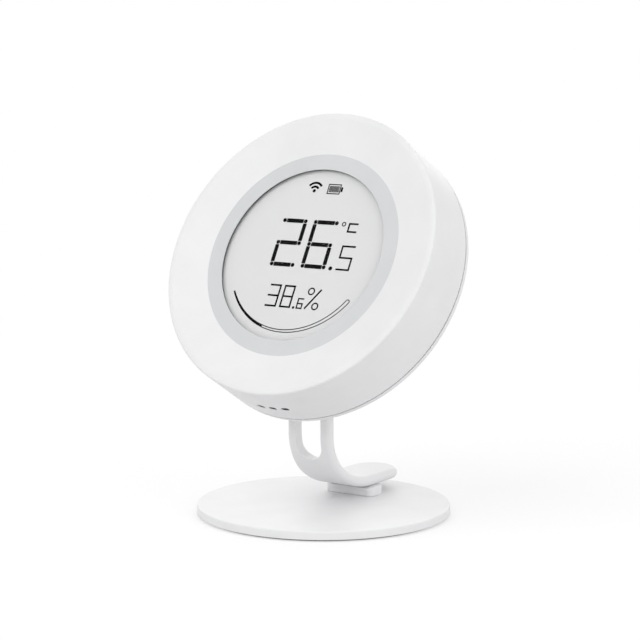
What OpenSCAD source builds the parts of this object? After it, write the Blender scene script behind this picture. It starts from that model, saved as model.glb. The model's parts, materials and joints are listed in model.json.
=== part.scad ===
// Temperature and humidity sensor: a round display head that tilts on a forked arm
// with a round base. Millimetres, +Z up. The display faces -Y, and the origin is the
// middle of the base, on the surface it stands on.

/* [Head] */
// Diameter of the head at its seam
head_d = 66; // [64:0.5:80]
// Depth of the head, from the front rim to the rear face
head_depth = 15; // [14.5:0.1:20]
// How much the side wall narrows on each side towards the front
head_draft = 0.3; // [0:0.05:0.8]
// Width of the flat rim round the dished bezel
rim_w = 1.2; // [0.8:0.1:2]
// Rounding of the front rim's outer edge
front_round = 0.4; // [0.2:0.05:0.7]
// Rounding of the rear edge
rear_round = 0.3; // [0.1:0.05:0.6]
// How far the display ring lies behind the front rim
dish_depth = 1.5; // [0.6:0.1:2]
// Thickness of the housing's side wall
side_wall = 1.8; // [1.2:0.1:2.2]
// Thickness of the housing's front wall
front_wall = 2.3; // [1.8:0.1:2.8]
// Thickness of the rear cover
cover_t = 1.5; // [1.4:0.1:2]
// Thickness of the rear cover's edge, behind the housing's side wall
cover_edge_t = 1.1; // [0.8:0.05:1.35]
// Open line between the housing and the rear cover
seam_gap = 0.3; // [0.1:0.05:0.6]
// How far the cover's spigot reaches into the housing
spigot_depth = 2; // [1:0.1:2.5]
// Thickness of the cover's spigot
spigot_t = 1.2; // [0.8:0.1:1.6]

/* [Vents] */
// Number of vent slots in the lower side wall
vent_count = 3; // [1:1:5]
// Length of a vent slot
vent_l = 2; // [1.2:0.1:2.6]
// Height of a vent slot
vent_h = 1.3; // [0.6:0.1:1.5]
// Distance from one vent slot to the next
vent_pitch = 3.1; // [2.9:0.1:4]
// How far the vent slots lie behind the front rim
vent_s = 8; // [7:0.1:9]
// Thickness of the dust membrane behind the vents
membrane_t = 0.35; // [0.2:0.05:0.6]

/* [Display] */
// Width of the bezel, from the head's edge to the display ring
bezel_w = 9.65; // [8.6:0.05:11]
// Width of the display ring
ring_w = 3.5; // [2.2:0.1:5]
// Thickness of the display ring
ring_t = 0.25; // [0.15:0.05:0.4]
// Thickness of the light gasket
gasket_t = 0.3; // [0.2:0.05:0.5]
// Thickness of the display window
window_t = 0.4; // [0.3:0.05:0.8]
// Width of the housing's ledge under the window
ledge_w = 1.9; // [1.2:0.1:2.4]
// Thickness of each of the display's two glasses
lcd_glass_t = 0.85; // [0.5:0.05:1]
// Height of the bare contact edge on the front glass
lcd_contact_h = 3.8; // [3:0.1:5]
// Length of the rubber connector
strip_l = 15; // [8:0.5:16]
// Width of the rubber connector
strip_w = 1.6; // [1:0.1:2]
// Width of the spacer frame's ring
frame_w = 5.9; // [4.5:0.1:7]
// How far the spacer frame reaches past the display's edge
frame_lap = 1.5; // [1:0.1:1.8]

/* [Board] */
// Thickness of the circuit board
board_t = 1; // [0.8:0.1:1.6]
// Gap between the board's edge and the housing's wall
board_margin = 2.5; // [2.2:0.1:3.5]
// Diameter of a board post in the housing
post_d = 4; // [3.4:0.1:4.4]
// Edge length of the sensor chip
sensor_w = 2.5; // [2:0.1:3]
// Height of the sensor chip
sensor_h = 0.9; // [0.5:0.1:1.2]
// Width of the two slots that shield the sensor from the board's heat
heat_slot_w = 1; // [0.6:0.1:1.5]
// Length of the radio module
radio_l = 12; // [8:0.5:13]
// Width of the radio module
radio_w = 7.5; // [5:0.5:8]
// Height of the radio module, from the board to the top of its shield
radio_h = 2; // [1.2:0.1:3]
// Distance of the radio module inside the board's edge
radio_margin = 3.45; // [2.5:0.05:4]
// Length of the radio module's bare end, where its antenna lies
antenna_l = 3; // [2:0.1:4]
// Distance of the shield's edge inside the radio module's edge
shield_inset = 0.5; // [0.3:0.1:1]

/* [Battery] */
// Diameter of the coin cell
cell_d = 24.5; // [20:0.1:24.6]
// Height of the coin cell
cell_t = 5; // [3.2:0.1:5.4]
// Thickness of the holder's floor
holder_floor = 0.8; // [0.6:0.1:1.2]
// Thickness of the holder's wall
holder_wall = 1; // [0.7:0.1:1.2]
// Thickness of the contact springs
contact_t = 0.3; // [0.2:0.05:0.5]
// Width of the side contact
contact_w = 5; // [3:0.1:7]
// Thickness of the foam pad between the door and the cell
cell_pad_t = 0.3; // [0.2:0.05:0.6]
// Diameter of the foam pad
cell_pad_d = 16; // [8:0.5:20]

/* [Battery door] */
// Thickness of the door's flange
flange_t = 0.8; // [0.6:0.05:1]
// Width of the door's flange round the plug
flange_w = 2.5; // [2.2:0.1:3]
// Thickness of the cover's ledge that the door locks under
door_ledge_t = 1.1; // [0.9:0.05:1.4]
// Thickness of the door's plug wall
plug_wall = 1; // [0.8:0.1:1.4]
// Number of locking tabs
tab_count = 3; // [2:1:4]
// Angle that a locking tab spans
tab_span = 24; // [16:1:28]
// Thickness of a locking tab
tab_t = 1; // [0.8:0.05:1.2]
// How far a locking tab stands out of the plug
tab_out = 1.6; // [1.2:0.1:1.8]
// Turn that frees the door
door_turn = 30; // [30:1:40]
// Angle by which a notch is wider than its tab on each side
notch_margin = 3; // [2:0.5:5]
// Width of the cover's thick ring outside the notches
door_ring_w = 2; // [1.2:0.1:2.4]
// Length of the coin slot
coin_slot_l = 12; // [8:0.5:16]
// Width of the coin slot
coin_slot_w = 1.8; // [1.2:0.1:2.4]
// Depth of the coin slot
coin_slot_deep = 0.7; // [0.4:0.05:0.9]

/* [Button] */
// Diameter of the rear button
button_d = 5.6; // [4:0.1:6]
// Gap between the door's edge and the button's hole
button_off = 2.3; // [1.8:0.1:2.6]
// Gap between the button's flange and the cover's spigot
button_margin = 1.8; // [1:0.1:2.4]
// How far the button stands proud of the cover
button_proud = 0.2; // [0:0.05:0.6]
// Travel of the button
button_travel = 0.5; // [0.2:0.05:0.6]
// Width of the button's retaining flange
button_flange_w = 0.8; // [0.6:0.1:1]
// Thickness of the button's retaining flange
button_flange_t = 0.9; // [0.6:0.05:1.2]
// Edge length of the switch
switch_w = 5.2; // [4.5:0.1:5.4]
// Height of the switch's body
switch_h = 3; // [2.2:0.1:3.2]
// Diameter of the switch's plunger
plunger_d = 3; // [2:0.1:3.5]

/* [Hinge] */
// How far the display leans back from upright
head_tilt = 29.2; // [0:0.1:60]
// How far the hinge lies above the head's lower edge
hinge_up = 10.4; // [8.5:0.1:13]
// How far the hinge lies behind the rear face
hinge_behind = 3.4; // [3.4:0.1:6]
// Diameter of the hinge pin
pin_d = 2; // [1.5:0.1:3]
// Diameter of the eyes and of the knuckle between them
eye_d = 6; // [5:0.1:6]
// Rounding of the eyes' outer edges
eye_round = 0.8; // [0.3:0.1:1]
// Thickness of a friction washer
washer_t = 0.3; // [0.2:0.05:0.5]
// Diameter of a friction washer
washer_d = 5.2; // [4.4:0.1:5.6]
// Width of the knuckle's root on each side of the knuckle
knuckle_root = 1.2; // [0:0.1:2]
// Diameter of the pin's two heads
pin_head_d = 3.4; // [3.2:0.1:4.4]
// Thickness of the pin's two heads
pin_head_t = 0.5; // [0.3:0.05:0.8]

/* [Arm] */
// Width of the arm
arm_w = 11.3; // [10:0.1:14]
// Thickness of the arm, which has fully rounded edges
arm_t = 2.4; // [2:0.1:3]
// Height of the hinge above the surface that the base stands on
hinge_h = 29.7; // [26:0.1:45]
// How far the arm's upright part lies in front of the base's centre
arm_forward = 4.85; // [0:0.05:8]
// Width of the fork's slot
slot_w = 6.56; // [5.5:0.02:7]
// Height of the slot's round lower end
slot_low = 12.5; // [10:0.1:15]
// Outer radius of the arm's heel, below the upright part
heel_r = 12.1; // [8:0.1:14]
// Angle that the heel turns through
heel_turn = 55; // [30:1:70]
// Outer radius of the arm's sole, from the heel to the flat foot
sole_r = 22; // [15:0.1:24]
// How far the foot's round end lies behind the base's centre
foot_back = 25.1; // [22:0.1:27]

/* [Base] */
// Diameter of the base plate
base_d = 55.4; // [50:0.1:80]
// Thickness of the base plate
base_t = 1.8; // [1.6:0.1:4]
// Rounding of the base plate's upper edge
base_round = 0.3; // [0.2:0.05:0.8]
// Thickness of the pad under the base plate
pad_t = 0.8; // [0.6:0.05:1.2]
// How far the pad stands out of its recess
pad_proud = 0.4; // [0.2:0.05:0.5]
// Distance of the pad's edge inside the base plate's edge
pad_margin = 1; // [0.5:0.1:4]
// Width of the foot block
block_w = 12.6; // [11:0.1:16]
// Height of the foot block
block_h = 2.2; // [1.5:0.1:5]
// Length of the foot block in front of the flat foot's start
block_front = 2.1; // [1.5:0.1:3]
// Length of the foot block behind the flat foot's start
block_rear = 3.1; // [2.6:0.1:5]
// Rounding of the foot block's upright corners
block_round = 1.6; // [0.3:0.1:2]
// How far the block's top falls away in front of the flat foot
block_fall = 0.3; // [0.1:0.05:0.6]

/* [Screws] */
// Thread diameter of the cover screws
cover_screw_d = 2; // [1.6:0.1:2.2]
// Head diameter of the cover screws
cover_screw_head_d = 3.6; // [3:0.1:4]
// How far the cover screws' heads lie below the rear face
cover_screw_sunk = 0.2; // [0.1:0.05:0.4]
// Length of the cross recess in the cover screws
cross_l = 2.2; // [1.6:0.1:2.6]
// Width of the cross recess in the cover screws
cross_w = 0.5; // [0.4:0.05:0.7]
// Length of the cover screws below the head
cover_screw_l = 5; // [4:0.1:6]
// Diameter of the screw bosses
boss_d = 5.2; // [4.8:0.1:5.6]
// Thread diameter of the board screws
board_screw_d = 1.6; // [1.2:0.1:1.8]
// Head diameter of the board screws
board_screw_head_d = 3; // [2.4:0.1:3.6]
// Thread diameter of the arm screws
arm_screw_d = 2; // [1.6:0.1:2.5]
// Head diameter of the arm screws
arm_screw_head_d = 4; // [3.2:0.1:4.6]
// Thickness of the screw heads
screw_head_t = 0.8; // [0.6:0.05:0.9]
// Distance between the two arm screws
arm_screw_pitch = 6; // [5:0.1:7]
// How far the arm screws reach into the foot
arm_screw_bite = 1.6; // [1:0.1:1.7]

/* [Clearances] */
// Gap between pieces that are fixed to each other
fit_gap = 0.05; // [0.02:0.01:0.1]
// Gap between pieces that are laid in by hand
loose_gap = 0.2; // [0.1:0.05:0.3]
// Gap round the hinge pin and the switch's plunger
run_gap = 0.05; // [0.02:0.01:0.1]
// Gap between pieces that move past each other
free_gap = 0.3; // [0.2:0.05:0.4]

/* [Hidden] */

$fn = 96;

// How far a cut runs past the face that it opens
cut = 0.5;

shell_white = [0.93, 0.93, 0.93];
ring_grey = [0.8, 0.81, 0.82];
foam_black = [0.06, 0.06, 0.06];
clear_tint = [0.85, 0.9, 0.9, 0.35];
display_grey = [0.82, 0.83, 0.81];
rubber_grey = [0.55, 0.55, 0.55];
board_green = [0.08, 0.3, 0.16];
steel = [0.72, 0.72, 0.73];
gold = [0.85, 0.68, 0.35];
chip_black = [0.1, 0.1, 0.11];

// Depths in the head, counted from the front rim to the rear
seam_s = head_depth - cover_t;
cover_edge_s = head_depth - cover_edge_t;
wall_end_s = cover_edge_s - seam_gap;
gasket_s = dish_depth + ring_t;
window_s = gasket_s + gasket_t;
lcd_s = window_s + window_t;
lcd_mid_s = lcd_s + lcd_glass_t;
lcd_back_s = lcd_mid_s + lcd_glass_t;
front_inside_s = dish_depth + front_wall;
cell_back_s = seam_s - cell_pad_t;
cell_front_s = cell_back_s - cell_t;
board_back_s = cell_front_s - holder_floor;
board_front_s = board_back_s - board_t;
hinge_s = head_depth + hinge_behind;
hinge_drop = head_d / 2 - hinge_up;

// Radii of the head
head_r = head_d / 2;
front_r = head_r - head_draft;
wall_end_r = front_r + head_draft * (wall_end_s - front_round) / (cover_edge_s - front_round);
inside_r = front_r - side_wall;
spigot_r = inside_r - fit_gap;
spigot_in_r = spigot_r - spigot_t;
board_r = inside_r - board_margin;
ring_r = head_r - bezel_w;
ring_in_r = ring_r - ring_w;
ring_seat_r = ring_r + fit_gap;
aperture_r = ring_seat_r - ledge_w;
lcd_r = aperture_r - fit_gap;
frame_r = lcd_r + frame_lap;

// The dish is a cone from the ring's seat up to the flat rim
rim_in_r = front_r - rim_w;
function dish_s(r) = dish_depth * (rim_in_r - r) / (rim_in_r - ring_seat_r);

// Screw places of the head
boss_r = boss_d / 2;
boss_ring_r = spigot_in_r - boss_r - fit_gap;
boss_angles = [30, 150, 210, 330];
cover_screw_top_s = head_depth - cover_screw_sunk;
cover_screw_seat_s = cover_screw_top_s - screw_head_t;
boss_end_s = cover_screw_seat_s - cover_t;
boss_root_s = (dish_s(boss_ring_r - boss_r) + dish_s(boss_ring_r + boss_r) + front_wall) / 2;
post_r = post_d / 2;
post_ring_r = frame_r + free_gap + post_r;
post_angles = [0, 120, 240];
board_screw_bite = board_front_s - front_inside_s;

// Battery door
holder_in_r = cell_d / 2 + loose_gap;
holder_r = holder_in_r + holder_wall;
plug_in_r = cell_d / 2 + free_gap;
plug_r = plug_in_r + plug_wall;
door_hole_r = plug_r + free_gap;
tab_r = plug_r + tab_out;
notch_r = tab_r + free_gap;
door_r = plug_r + flange_w;
door_seat_r = door_r + free_gap;
door_ledge_s = head_depth - flange_t;
door_ledge_in_s = door_ledge_s - door_ledge_t;
door_ring_r = notch_r + door_ring_w;
tab_back_s = door_ledge_in_s - free_gap;
tab_front_s = tab_back_s - tab_t;
holder_top_s = tab_front_s - free_gap;
first_tab = 90;

// Button and switch
button_r = button_d / 2;
button_hole_r = button_r + free_gap;
button_flange_r = button_r + button_flange_w;
button_up = spigot_in_r - button_margin - button_flange_r;
button_flange_s = seam_s - button_flange_t;
switch_back_s = board_back_s + switch_h;
plunger_r = plunger_d / 2;
plunger_top_s = switch_back_s + button_travel + free_gap;
plunger_low_s = switch_back_s - plunger_r / 2;
plunger_bore_s = plunger_low_s - button_travel - free_gap;

// How far the cell and its door, which lie below the button, are above the head's centre
cell_up = button_up - button_hole_r - button_off - door_seat_r;

// Board layout
floor_hole_r = cell_d / 4;
sensor_v = -(board_r - sensor_w);
heat_slot_u = sensor_w / 2 + 2 * heat_slot_w;
strip_v = -(lcd_r - lcd_contact_h + strip_w / 2 + loose_gap);
radio_u = -(board_r - radio_margin - radio_w / 2);

// Hinge and arm
pin_r = pin_d / 2;
eye_r = eye_d / 2;
knuckle_w = slot_w - 2 * washer_t;
prong_w = (arm_w - slot_w) / 2;
base_z = pad_proud;
base_top = base_z + base_t;
foot_z = base_top + block_h;
heel_y = heel_r - arm_t / 2 - arm_forward;
sole_y = heel_y + (sole_r - heel_r) * cos(heel_turn);
sole_z = foot_z + sole_r;
heel_z = sole_z - (sole_r - heel_r) * sin(heel_turn);
foot_round_y = foot_back - arm_w / 2;
pad_r = base_d / 2 - pad_margin;
arm_screw_y = sole_y + block_rear / 2;

// The arm's middle line, from the hinge to the flat foot, as places in its side plane.
// Each is [y, z, direction of the outer side].
edge_steps = 8;
bend_step = 7;
strap_flat = (arm_w - arm_t) / 2;
function bend(y, z, outer_r, from_a, to_a) = let (steps = ceil((to_a - from_a) / bend_step)) [
    for (i = [1:steps]) let (a = from_a + (to_a - from_a) * i / steps)
        [y + (outer_r - arm_t / 2) * cos(a), z + (outer_r - arm_t / 2) * sin(a), a]
];
arm_line = concat(
    [[-arm_forward, hinge_h, 180], [-arm_forward, heel_z, 180]],
    bend(heel_y, heel_z, heel_r, 180, 180 + heel_turn),
    bend(sole_y, sole_z, sole_r, 180 + heel_turn, 270)
);

// Two-dimensional shapes

// Points on an arc from angle a0 to angle a1
function arc(c, r, a0, a1, steps = 12) =
    [for (i = [0:steps]) let (a = a0 + (a1 - a0) * i / steps) c + r * [cos(a), sin(a)]];

module ring(outer, inner) {
    difference() {
        circle(outer);
        circle(inner);
    }
}

// A slot of length l and width w with round ends
module slot(l, w) {
    square([l - w, w], center = true);
    for (side = [-1, 1]) translate([side * (l - w) / 2, 0]) circle(w / 2);
}

module rounded(w, l, r) {
    square([w - 2 * r, l], center = true);
    square([w, l - 2 * r], center = true);
    for (x = [-1, 1], y = [-1, 1]) translate([x * (w / 2 - r), y * (l / 2 - r)]) circle(r);
}

// A wedge of the plane that spans an angle about a direction
module wedge(direction, span, reach) {
    polygon([
        [0, 0],
        2 * reach * [cos(direction - span / 2), sin(direction - span / 2)],
        2 * reach * [cos(direction + span / 2), sin(direction + span / 2)]
    ]);
}

// Placing

// Puts the head's own frame in place: x to the right, y up the display, z out of it
module in_head() {
    translate([0, -arm_forward, hinge_h]) rotate([90 - head_tilt, 0, 0])
        translate([0, hinge_drop, hinge_s]) children();
}

// Extrudes a shape in the head from one depth to another
module layer(from_s, to_s) {
    translate([0, 0, -to_s]) linear_extrude(to_s - from_s) children();
}

// Revolves an outline of radius and depth about the head's axis
module turned(outline) {
    rotate_extrude() polygon([for (p = outline) [p[0], -p[1]]]);
}

module at_bosses() {
    for (a = boss_angles) rotate(a) translate([boss_ring_r, 0]) children();
}

module at_posts() {
    for (a = post_angles) rotate(a) translate([post_ring_r, 0]) children();
}

// Lays a shape of depth and height in the arm's side plane out along x
module across(width) {
    translate([-width / 2, 0, 0]) rotate([90, 0, 90]) linear_extrude(width) children();
}

// A round bar along x, centred on the middle plane
module bar(r, width) {
    translate([-width / 2, 0, 0]) rotate([0, 90, 0]) cylinder(r = r, h = width);
}

// Head: shell

module front_housing() {
    color(shell_white) in_head() difference() {
        union() {
            turned(concat(
                [[ring_seat_r, dish_depth], [rim_in_r, 0]],
                arc([front_r - front_round, front_round], front_round, -90, 0),
                [
                    [wall_end_r, wall_end_s],
                    [inside_r, wall_end_s],
                    [inside_r, front_wall],
                    [ring_seat_r, front_inside_s],
                    [aperture_r, front_inside_s],
                    [aperture_r, lcd_s],
                    [ring_seat_r, lcd_s]
                ]
            ));
            layer(boss_root_s, boss_end_s) at_bosses() circle(boss_r);
            layer(lcd_s, board_front_s) at_posts() circle(post_r);
        }
        layer(cover_screw_seat_s - cover_screw_l - cut, head_depth)
            at_bosses() circle(cover_screw_d / 2 + fit_gap);
        layer(board_front_s - board_screw_bite, board_front_s + cut)
            at_posts() circle(board_screw_d / 2 + fit_gap);
        for (i = [0:vent_count - 1])
            translate([(i - (vent_count - 1) / 2) * vent_pitch, -head_r - cut, -vent_s])
                rotate([-90, 0, 0]) linear_extrude(head_r + 2 * cut - inside_r + side_wall)
                    slot(vent_l, vent_h);
    }
}

module rear_cover() {
    color(shell_white) in_head() difference() {
        union() {
            turned(concat(
                [[0, seam_s], [spigot_in_r, seam_s], [spigot_in_r, seam_s - spigot_depth]],
                [[spigot_r, seam_s - spigot_depth], [spigot_r, cover_edge_s]],
                [[head_r, cover_edge_s]],
                arc([head_r - rear_round, head_depth - rear_round], rear_round, 0, 90),
                [[0, head_depth]]
            ));
            layer(boss_end_s, seam_s + cut) at_bosses() circle(boss_r);
            translate([0, cell_up]) layer(door_ledge_in_s, seam_s + cut) circle(door_ring_r);
            knuckle();
        }
        layer(boss_end_s - cut, head_depth + cut) at_bosses() circle(cover_screw_d / 2 + fit_gap);
        layer(cover_screw_seat_s, head_depth + cut)
            at_bosses() circle(cover_screw_head_d / 2 + loose_gap / 2);
        translate([0, cell_up]) {
            layer(door_ledge_s, head_depth + cut) circle(door_seat_r);
            layer(door_ledge_in_s - cut, head_depth) {
                circle(door_hole_r);
                for (i = [0:tab_count - 1]) intersection() {
                    circle(notch_r);
                    wedge(first_tab - door_turn + i * 360 / tab_count, tab_span + 2 * notch_margin, notch_r);
                }
            }
        }
        translate([0, button_up]) layer(seam_s - cut, head_depth + cut) circle(button_hole_r);
        translate([0, -hinge_drop, -hinge_s]) bar(pin_r + run_gap, knuckle_w + 2 * cut);
    }
}

// The hinge knuckle behind the cover, with a root that widens towards the cover
module knuckle() {
    translate([0, -hinge_drop, -hinge_s]) across(knuckle_w) {
        circle(eye_r);
        polygon([
            [-eye_r, 0], [-eye_r - knuckle_root, hinge_behind + cut],
            [eye_r + knuckle_root, hinge_behind + cut], [eye_r, 0]
        ]);
    }
}

module cover_screws() {
    color(steel) in_head() at_bosses() difference() {
        union() {
            layer(cover_screw_seat_s, cover_screw_top_s) circle(cover_screw_head_d / 2);
            layer(cover_screw_seat_s - cover_screw_l, cover_screw_seat_s)
                circle(cover_screw_d / 2);
        }
        layer(cover_screw_top_s - screw_head_t / 2, cover_screw_top_s + cut) for (a = [0, 90])
            rotate(a) square([cross_l, cross_w], center = true);
    }
}

module vent_membrane() {
    span = vent_count * vent_pitch;
    color(foam_black) in_head() layer(vent_s - 2 * vent_h, vent_s + 2 * vent_h) intersection() {
        ring(inside_r - fit_gap, inside_r - fit_gap - membrane_t);
        translate([-span / 2, -head_r]) square([span, head_r]);
    }
}

// Head: display

module display_ring() {
    color(ring_grey) in_head() layer(dish_depth, gasket_s) ring(ring_r, ring_in_r);
}

module light_gasket() {
    color(foam_black) in_head() layer(gasket_s, window_s)
        ring(ring_r, ring_in_r + fit_gap);
}

module display_window() {
    color(clear_tint) in_head() layer(window_s, lcd_s) circle(ring_r);
}

module lcd_panel() {
    color(display_grey) in_head() {
        layer(lcd_s, lcd_mid_s) circle(lcd_r);
        layer(lcd_mid_s, lcd_back_s) intersection() {
            circle(lcd_r);
            translate([-lcd_r, lcd_contact_h - lcd_r]) square(2 * lcd_r);
        }
    }
}

module lcd_frame() {
    color(shell_white) in_head() layer(lcd_back_s, board_front_s) difference() {
        ring(frame_r, frame_r - frame_w);
        translate([0, strip_v])
            square([strip_l + loose_gap, strip_w + loose_gap], center = true);
    }
}

module zebra_strip() {
    color(rubber_grey) in_head() layer(lcd_mid_s, board_front_s)
        translate([0, strip_v]) square([strip_l, strip_w], center = true);
}

// Head: board and battery

module main_board() {
    color(board_green) in_head() layer(board_front_s, board_back_s) difference() {
        circle(board_r);
        at_bosses() circle(boss_r + free_gap);
        at_posts() circle(board_screw_d / 2 + fit_gap);
        for (side = [-1, 1])
            translate([side * heat_slot_u - heat_slot_w / 2, -board_r - cut])
                square([heat_slot_w, 2 * sensor_w + cut]);
    }
}

module radio_module() {
    carrier_h = radio_h / 3;
    color(steel) in_head() translate([radio_u, 0]) {
        layer(board_back_s, board_back_s + carrier_h)
            square([radio_w, radio_l], center = true);
        layer(board_back_s + carrier_h, board_back_s + radio_h) translate([0, -antenna_l / 2])
            square([radio_w, radio_l - antenna_l] - 2 * shield_inset * [1, 1], center = true);
    }
}

module sensor_chip() {
    color(chip_black) in_head() translate([0, sensor_v])
        layer(board_back_s, board_back_s + sensor_h) difference() {
            square(sensor_w, center = true);
            circle(sensor_w / 5);
        }
}

module battery_holder() {
    color(chip_black) in_head() translate([0, cell_up]) difference() {
        union() {
            layer(board_back_s, cell_front_s) ring(holder_r, floor_hole_r);
            layer(board_back_s, holder_top_s) ring(holder_r, holder_in_r);
        }
        layer(board_back_s - cut, holder_top_s + cut)
            translate([cell_d / 2 - cut, -contact_w / 2 - fit_gap])
                square([holder_r, contact_w + 2 * fit_gap]);
    }
}

module contact_positive() {
    color(gold) in_head() translate([cell_d / 2 + fit_gap, cell_up - contact_w / 2]) {
        layer(board_back_s, holder_top_s) square([contact_t, contact_w]);
        layer(board_back_s, board_back_s + contact_t)
            square([holder_wall + contact_w / 2, contact_w]);
    }
}

module contact_negative() {
    color(gold) in_head() translate([0, cell_up]) {
        layer(board_back_s, board_back_s + contact_t) circle(floor_hole_r - free_gap);
        layer(board_back_s, cell_front_s) circle(floor_hole_r / 3);
    }
}

module coin_cell() {
    cap_h = cell_t / 12;
    color(steel) in_head() translate([0, cell_up]) {
        layer(cell_front_s, cell_front_s + cap_h) circle(cell_d / 2 - 4 * cap_h);
        layer(cell_front_s + cap_h, cell_back_s) circle(cell_d / 2);
    }
}

module board_screws() {
    color(steel) in_head() at_posts() {
        layer(board_back_s, board_back_s + screw_head_t) circle(board_screw_head_d / 2);
        layer(board_front_s - board_screw_bite + free_gap, board_back_s)
            circle(board_screw_d / 2);
    }
}

module tact_switch() {
    color(chip_black) in_head() translate([0, button_up]) difference() {
        layer(board_back_s, switch_back_s) square(switch_w, center = true);
        layer(plunger_bore_s, switch_back_s + cut) circle(plunger_r + run_gap);
    }
}

// Head: what moves

module battery_door() {
    color(shell_white) in_head() translate([0, cell_up]) difference() {
        union() {
            layer(door_ledge_s, head_depth) circle(door_r);
            layer(seam_s, door_ledge_s) circle(plug_r);
            layer(tab_front_s, seam_s) ring(plug_r, plug_in_r);
            for (i = [0:tab_count - 1]) layer(tab_front_s, tab_back_s) intersection() {
                ring(tab_r, plug_in_r + plug_wall / 2);
                wedge(first_tab + i * 360 / tab_count, tab_span, tab_r);
            }
        }
        layer(head_depth - coin_slot_deep, head_depth + cut) slot(coin_slot_l, coin_slot_w);
    }
}

module cell_pad() {
    color(foam_black) in_head() translate([0, cell_up])
        layer(cell_back_s, seam_s) circle(cell_pad_d / 2);
}

module pair_button() {
    color(shell_white) in_head() translate([0, button_up]) {
        layer(button_flange_s, head_depth + button_proud) circle(button_r);
        layer(button_flange_s, seam_s) circle(button_flange_r);
        layer(plunger_top_s, button_flange_s) circle(plunger_r);
    }
}

module switch_plunger() {
    color(foam_black) in_head() translate([0, button_up])
        layer(plunger_low_s, plunger_top_s) circle(plunger_r);
}

// Stand

// Half of the strap's outline at a place on the arm's middle line, as points on its round edge
function edge_row(place) = [
    for (i = [0:edge_steps]) let (f = -90 + 180 * i / edge_steps) [
        strap_flat + arm_t / 2 * cos(f),
        place[0] + arm_t / 2 * sin(f) * cos(place[2]),
        place[1] + arm_t / 2 * sin(f) * sin(place[2])
    ]
];

// The same points, turned about the middle of the foot's round end
function end_row(turn) = [
    for (p = edge_row([0, foot_z + arm_t / 2, 270]))
        [p[0] * cos(turn), foot_round_y + p[0] * sin(turn), p[2]]
];

// The strap from the hinge to the end of the foot, one row of points after another
module strap() {
    rows = concat(
        [for (place = arm_line) edge_row(place)],
        [for (turn = [0:bend_step:90 - bend_step / 2]) end_row(turn)]
    );
    per_row = edge_steps + 1;
    last = len(rows) - 1;
    right = [for (row = rows, p = row) p];
    left = [for (p = right) [-p[0], p[1], p[2]]];
    half = len(right);
    function r(k, i) = k * per_row + i;
    function l(k, i) = half + r(k, i);
    polyhedron(
        points = concat(right, left),
        faces = concat(
            [for (k = [0:last - 1], i = [0:edge_steps - 1])
                [r(k, i), r(k + 1, i), r(k + 1, i + 1), r(k, i + 1)]],
            [for (k = [0:last - 1], i = [0:edge_steps - 1])
                [l(k, i + 1), l(k + 1, i + 1), l(k + 1, i), l(k, i)]],
            [for (k = [0:last - 1])
                [l(k, edge_steps), r(k, edge_steps), r(k + 1, edge_steps), l(k + 1, edge_steps)]],
            [for (k = [0:last - 1]) [r(k, 0), l(k, 0), l(k + 1, 0), r(k + 1, 0)]],
            [for (i = [0:edge_steps - 1]) [l(0, i), r(0, i), r(0, i + 1), l(0, i + 1)]],
            [for (i = [0:edge_steps - 1])
                [r(last, i), l(last, i), l(last, i + 1), r(last, i + 1)]]
        )
    );
}

module arm() {
    color(shell_white) difference() {
        union() {
            strap();
            translate([0, -arm_forward, hinge_h]) for (side = [0, 1]) mirror([side, 0, 0])
                translate([slot_w / 2, 0, 0]) rotate([0, 90, 0]) rotate_extrude() polygon(concat(
                    [[0, 0], [eye_r, 0]],
                    arc([eye_r - eye_round, prong_w - eye_round], eye_round, 0, 90),
                    [[0, prong_w]]
                ));
        }
        translate([0, -arm_forward - eye_d, slot_low + slot_w / 2]) rotate([-90, 0, 0])
            linear_extrude(2 * eye_d + heel_r) {
                circle(slot_w / 2);
                translate([-slot_w / 2, -2 * hinge_h]) square([slot_w, 2 * hinge_h]);
            }
        translate([0, -arm_forward, hinge_h]) bar(pin_r + fit_gap, arm_w + 2 * cut);
        at_arm_screws() translate([0, 0, foot_z - cut])
            cylinder(d = arm_screw_d + 2 * fit_gap, h = cut + arm_screw_bite + fit_gap);
    }
}

module at_arm_screws() {
    for (side = [-1, 1]) translate([side * arm_screw_pitch / 2, arm_screw_y, 0]) children();
}

module tilt_pin() {
    color(steel) translate([0, -arm_forward, hinge_h]) {
        bar(pin_r, arm_w);
        for (side = [-1, 1]) translate([side * (arm_w + pin_head_t) / 2, 0, 0])
            bar(pin_head_d / 2, pin_head_t);
    }
}

module friction_washers() {
    color(foam_black) translate([0, -arm_forward, hinge_h]) for (side = [-1, 1])
        translate([side * (slot_w - washer_t) / 2, 0, 0]) difference() {
            bar(washer_d / 2, washer_t);
            bar(pin_r + fit_gap, washer_t + 2 * cut);
        }
}

module foot_block() {
    front_y = sole_y - block_front;
    rear_y = sole_y + block_rear;
    color(shell_white) difference() {
        intersection() {
            across(block_w) polygon([
                [front_y, base_top], [rear_y, base_top], [rear_y, foot_z],
                [sole_y, foot_z], [front_y, foot_z - block_fall]
            ]);
            translate([0, (front_y + rear_y) / 2, base_top]) linear_extrude(block_h)
                rounded(block_w, rear_y - front_y, block_round);
        }
        at_arm_screws() cylinder(d = arm_screw_d + 2 * fit_gap, h = foot_z + cut);
    }
}

module base_plate() {
    color(shell_white) difference() {
        rotate_extrude() polygon(concat(
            [[0, pad_t], [pad_r + fit_gap, pad_t], [pad_r + fit_gap, base_z], [base_d / 2, base_z]],
            arc([base_d / 2 - base_round, base_top - base_round], base_round, 0, 90),
            [[0, base_top]]
        ));
        at_arm_screws() {
            cylinder(d = arm_screw_d + 2 * fit_gap, h = base_top + cut);
            cylinder(d = arm_screw_head_d + 2 * fit_gap, h = pad_t + screw_head_t);
        }
    }
}

module anti_slip_pad() {
    color(rubber_grey) cylinder(r = pad_r, h = pad_t);
}

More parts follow.
